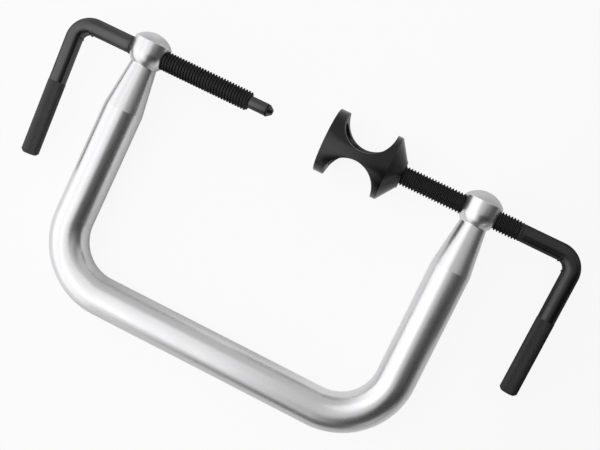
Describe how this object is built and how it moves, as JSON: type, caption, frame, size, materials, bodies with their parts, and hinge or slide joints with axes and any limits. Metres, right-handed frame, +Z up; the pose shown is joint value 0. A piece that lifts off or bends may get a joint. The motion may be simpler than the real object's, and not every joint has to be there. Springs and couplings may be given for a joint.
{
  "type": "valve spring compressor",
  "caption": "Screw-type valve spring compressor: a bent bar C-frame with cranked screws on one axis, a pilot on one side facing a swivelling windowed fork on the other.",
  "frame": {"origin": "on the ground under the middle of the part's bounding box, with the tool lying on its side", "axes": "+X along the screw axis from the pilot screw to the fork screw, +Y from the frame's lower bar towards the screws, +Z up"},
  "size_m": [0.3528, 0.1862, 0.0413],
  "materials": {
    "plated_steel": "bright plated steel, slightly satin",
    "black_oxide_screw": "black oxide, oiled, satin",
    "black_oxide_fork": "black oxide on a turned surface, satin, edges worn bright",
    "spring_steel": "dark spring steel"
  },
  "bodies": {
    "frame": {"c_frame": "plated_steel"},
    "tip_carrier": {"tip_ring": "spring_steel"},
    "tip_screw": {"tip_screw": "black_oxide_screw"},
    "fork_carrier": {"fork_ring": "spring_steel"},
    "fork_screw": {"fork_screw": "black_oxide_screw"},
    "fork": {"fork": "black_oxide_fork"}
  },
  "joints": [
    {"name": "tip_slide", "type": "slide", "parent": "frame", "child": "tip_carrier", "axis": [1, 0, 0], "range_m": [-0.05862, 0.00196]},
    {"name": "tip_spin", "type": "hinge", "parent": "tip_carrier", "child": "tip_screw", "pos_m": [0, 0.07242, 0.02065], "axis": [1, 0, 0], "range_deg": [-10800, 360]},
    {"name": "fork_slide", "type": "slide", "parent": "frame", "child": "fork_carrier", "axis": [-1, 0, 0], "range_m": [-0.03886, 0.01737]},
    {"name": "fork_spin", "type": "hinge", "parent": "fork_carrier", "child": "fork_screw", "pos_m": [0, 0.07242, 0.02065], "axis": [-1, 0, 0], "range_deg": [-7160, 3200]},
    {"name": "fork_swivel", "type": "hinge", "parent": "fork_carrier", "child": "fork", "pos_m": [0, 0.07242, 0.02065], "axis": [-1, 0, 0], "continuous": true}
  ],
  "couplings": [
    {"joint": "tip_slide", "follows": "tip_spin", "m_per_rad": 0.00031096},
    {"joint": "fork_slide", "follows": "fork_spin", "m_per_rad": 0.00031096}
  ]
}
